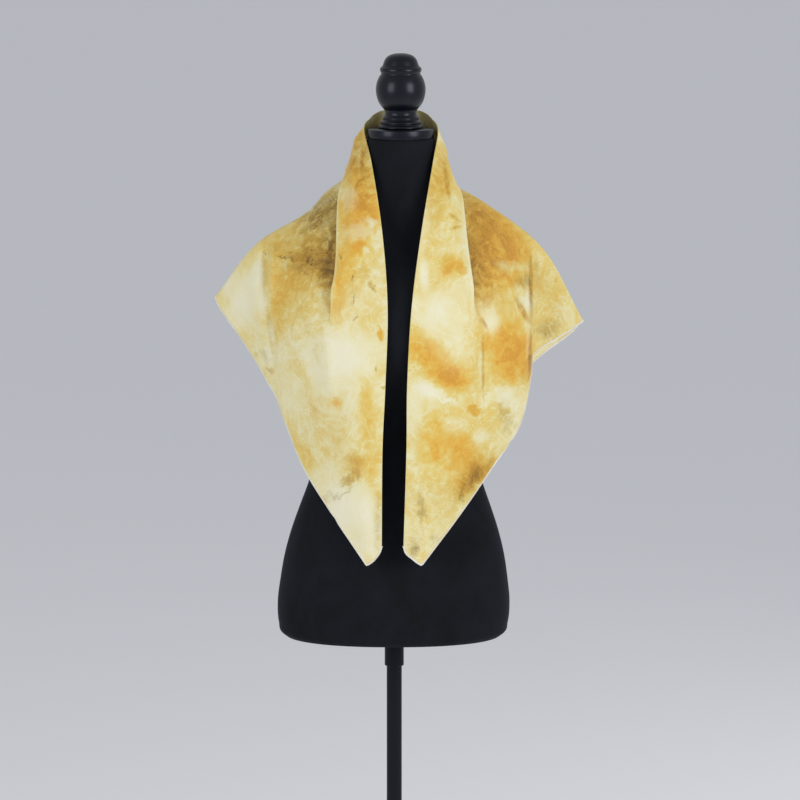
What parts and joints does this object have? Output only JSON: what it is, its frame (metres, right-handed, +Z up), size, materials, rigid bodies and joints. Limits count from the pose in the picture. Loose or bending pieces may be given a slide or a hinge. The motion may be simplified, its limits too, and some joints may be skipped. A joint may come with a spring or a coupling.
{
  "type": "silk square scarf on a dress form",
  "caption": "Square silk scarf folded nearly on its diagonal and worn like a shawl, with open front points, on a limbless velvet dress form on a pole and round foot.",
  "frame": {"origin": "on the floor, under the axis of the pole", "axes": "+Z up, -Y towards the front of the dress form, +X to the right as seen from the front"},
  "size_m": [0.511, 0.3, 1.5269],
  "materials": {
    "silk": "soft satin silk, mottled gold and cream dye",
    "velvet": "black velvet with a short nap",
    "black_gloss": "gloss black lacquer",
    "black_steel": "satin black"
  },
  "bodies": {
    "root": {"scarf_left_front": "silk", "scarf_right_front": "silk", "scarf_back": "silk", "scarf_under_layer": "silk", "torso": "velvet", "neck_cap": "black_gloss", "finial": "black_gloss", "pole_socket": "black_steel", "pole": "black_steel", "foot": "black_steel"}
  },
  "joints": []
}
